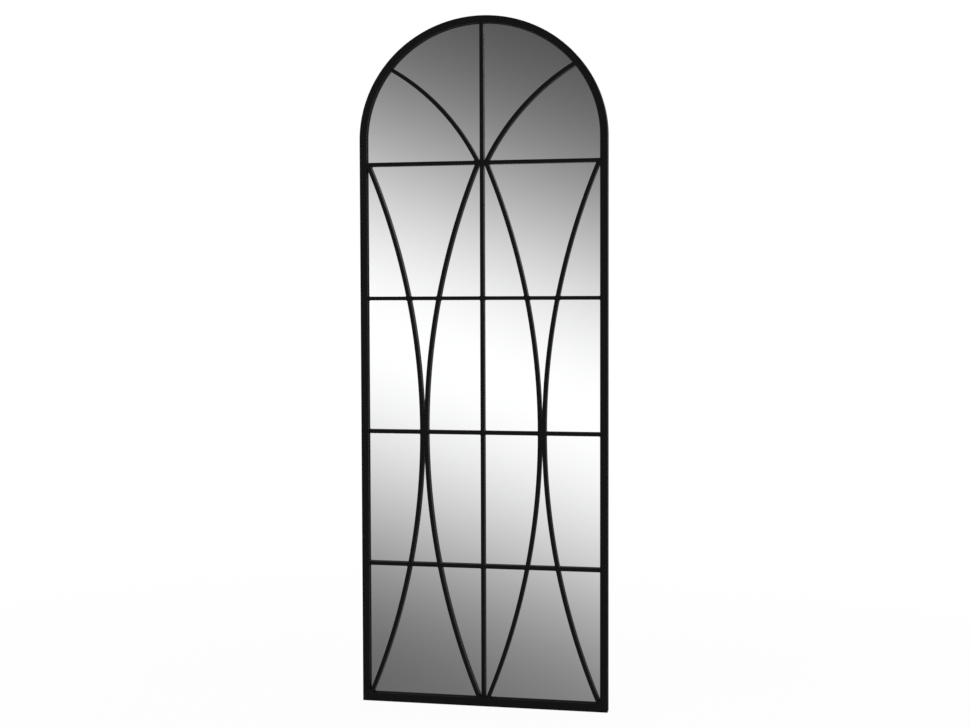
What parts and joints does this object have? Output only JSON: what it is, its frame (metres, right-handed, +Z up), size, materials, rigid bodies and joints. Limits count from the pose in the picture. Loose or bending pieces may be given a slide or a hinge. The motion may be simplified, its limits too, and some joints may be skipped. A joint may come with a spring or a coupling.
{
  "type": "arched window mirror",
  "caption": "Tall mirror in a black steel tube frame with an arched head, with a lattice of straight and bent glazing bars over the glass.",
  "frame": {"origin": "centre of the base rail's underside, halfway between the frame's front and its back", "axes": "+X to the right seen from the front, +Y back towards the wall, +Z up the mirror"},
  "size_m": [0.655, 0.0333, 1.8],
  "materials": {
    "black_paint": "satin black powder coat",
    "mirror_glass": "silvered float glass with ground edges",
    "hardboard": "brown hardboard, smooth side out",
    "foam": "pale double-sided foam tape",
    "black_rubber": "matt black rubber",
    "zinc_plate": "bright zinc plate"
  },
  "bodies": {
    "mirror": {"frame_arch": "black_paint", "frame_base_rail": "black_paint", "frame_stile_left": "black_paint", "frame_stile_right": "black_paint", "mullion": "black_paint", "rail_top": "black_paint", "rail_upper": "black_paint", "rail_middle": "black_paint", "rail_lower": "black_paint", "bow_outer_left": "black_paint", "bow_inner_left": "black_paint", "bow_outer_right": "black_paint", "bow_inner_right": "black_paint", "head_arc_left": "black_paint", "head_arc_right": "black_paint", "mirror_pane": "mirror_glass", "backing_board": "hardboard", "foam_tape_left": "foam", "foam_tape_centre": "foam", "foam_tape_right": "foam", "setting_block_left": "black_rubber", "setting_block_right": "black_rubber", "clip_left_1": "zinc_plate", "clip_screw_left_1": "zinc_plate", "clip_left_2": "zinc_plate", "clip_screw_left_2": "zinc_plate", "clip_left_3": "zinc_plate", "clip_screw_left_3": "zinc_plate", "clip_right_1": "zinc_plate", "clip_screw_right_1": "zinc_plate", "clip_right_2": "zinc_plate", "clip_screw_right_2": "zinc_plate", "clip_right_3": "zinc_plate", "clip_screw_right_3": "zinc_plate", "clip_base_1": "zinc_plate", "clip_screw_base_1": "zinc_plate", "clip_base_2": "zinc_plate", "clip_screw_base_2": "zinc_plate", "clip_arch_1": "zinc_plate", "clip_screw_arch_1": "zinc_plate", "clip_arch_2": "zinc_plate", "clip_screw_arch_2": "zinc_plate", "clip_arch_3": "zinc_plate", "clip_screw_arch_3": "zinc_plate", "hanger_strap_left": "zinc_plate", "hanger_screw_left_1": "zinc_plate", "hanger_screw_left_2": "zinc_plate", "hanger_strap_right": "zinc_plate", "hanger_screw_right_1": "zinc_plate", "hanger_screw_right_2": "zinc_plate", "bumper_foot_left": "black_rubber", "bumper_foot_right": "black_rubber", "bumper_head_left": "black_rubber", "bumper_head_right": "black_rubber"},
    "ring_left": {"hanger_ring_left": "zinc_plate"},
    "ring_right": {"hanger_ring_right": "zinc_plate"}
  },
  "joints": [
    {"name": "ring_left_swing", "type": "hinge", "parent": "mirror", "child": "ring_left", "pos_m": [-0.318, 0.01655, 1.3955], "axis": [1, 0, 0], "range_deg": [0, 178]},
    {"name": "ring_right_swing", "type": "hinge", "parent": "mirror", "child": "ring_right", "pos_m": [0.318, 0.01655, 1.3955], "axis": [1, 0, 0], "range_deg": [0, 178]}
  ]
}
